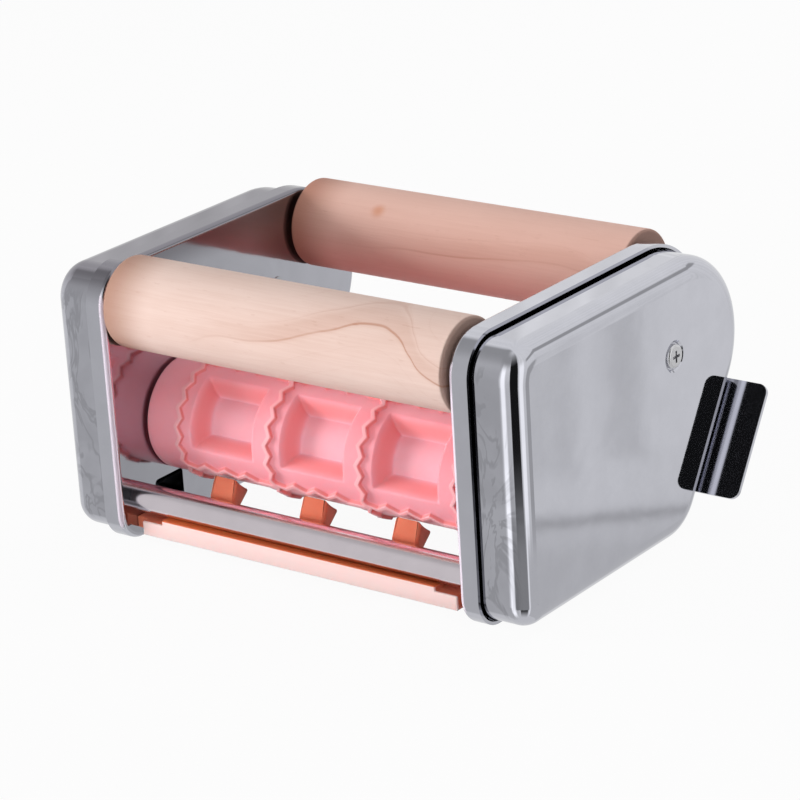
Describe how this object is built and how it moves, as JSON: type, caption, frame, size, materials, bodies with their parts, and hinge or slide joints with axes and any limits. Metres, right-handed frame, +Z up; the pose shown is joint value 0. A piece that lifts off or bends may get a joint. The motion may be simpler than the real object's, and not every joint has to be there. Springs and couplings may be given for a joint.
{
  "type": "ravioli attachment for a pasta machine",
  "caption": "Hand-cranked attachment with geared moulded rollers that press two sheets of dough into filled squares, under wooden guide rollers, in a steel frame with covered ends.",
  "frame": {"origin": "on the standing surface, midway between the side plates and midway from front to rear", "axes": "+X along the rollers to the right, +Y to the rear, +Z up"},
  "size_m": [0.2306, 0.1492, 0.1082],
  "materials": {
    "polished_steel": "mirror polished stainless sheet",
    "satin_steel": "satin stainless sheet, near mirror",
    "plain_steel": "plain machined steel",
    "spring_steel": "dark spring steel",
    "gear_steel": "cut steel gear",
    "plated_rod": "nickel plated round bar",
    "plated_screw": "bright plated screw",
    "beech_front": "pale sanded beech",
    "beech_rear": "sanded beech with a warmer tone",
    "pink_plastic": "moulded food plastic, satin gloss",
    "peach_plastic": "moulded food plastic, satin gloss",
    "nylon": "white bearing plastic"
  },
  "bodies": {
    "frame": {"left_side_plate": "polished_steel", "left_cover": "satin_steel", "right_side_plate": "polished_steel", "right_cover": "satin_steel", "front_wood_axle": "plain_steel", "left_front_axle_washer": "plain_steel", "left_front_axle_clip": "spring_steel", "left_front_bush": "nylon", "left_front_tie_screw": "plain_steel", "right_front_axle_washer": "plain_steel", "right_front_axle_clip": "spring_steel", "right_front_bush": "nylon", "right_front_tie_screw": "plain_steel", "front_comb": "peach_plastic", "front_tie_rod": "plated_rod", "rear_wood_axle": "plain_steel", "left_rear_axle_washer": "plain_steel", "left_rear_axle_clip": "spring_steel", "left_rear_bush": "nylon", "left_rear_tie_screw": "plain_steel", "right_rear_axle_washer": "plain_steel", "right_rear_axle_clip": "spring_steel", "right_rear_bush": "nylon", "right_rear_tie_screw": "plain_steel", "rear_comb": "peach_plastic", "rear_tie_rod": "plated_rod", "left_mount_ear": "plain_steel", "left_upper_ear_rivet": "plain_steel", "left_lower_ear_rivet": "plain_steel", "left_cover_post": "plain_steel", "left_cover_screw": "plated_screw", "right_mount_ear": "plain_steel", "right_upper_ear_rivet": "plain_steel", "right_lower_ear_rivet": "plain_steel", "right_cover_post": "plain_steel", "right_cover_screw": "plated_screw"},
    "front_wood": {"front_wood_roller": "beech_front"},
    "rear_wood": {"rear_wood_roller": "beech_rear"},
    "front_die": {"front_ravioli_roller": "pink_plastic", "front_shaft": "plain_steel", "crank_socket": "plain_steel", "front_gear": "gear_steel", "front_gear_pin": "spring_steel", "front_shaft_right_clip": "spring_steel"},
    "rear_die": {"rear_ravioli_roller": "pink_plastic", "rear_shaft": "plain_steel", "rear_shaft_left_clip": "spring_steel", "rear_gear": "gear_steel", "rear_gear_pin": "spring_steel", "rear_shaft_right_clip": "spring_steel"}
  },
  "joints": [
    {"name": "front_wood_spin", "type": "hinge", "parent": "frame", "child": "front_wood", "pos_m": [0, -0.05757, 0.0912], "axis": [1, 0, 0], "continuous": true},
    {"name": "rear_wood_spin", "type": "hinge", "parent": "frame", "child": "rear_wood", "pos_m": [0, 0.05137, 0.0905], "axis": [1, 0, 0], "continuous": true},
    {"name": "front_die_spin", "type": "hinge", "parent": "frame", "child": "front_die", "pos_m": [0, -0.03447, 0.0413], "axis": [1, 0, 0], "continuous": true},
    {"name": "rear_die_spin", "type": "hinge", "parent": "frame", "child": "rear_die", "pos_m": [0, 0.01203, 0.0413], "axis": [1, 0, 0], "continuous": true}
  ],
  "couplings": [
    {"joint": "rear_die_spin", "follows": "front_die_spin", "ratio": -1}
  ]
}
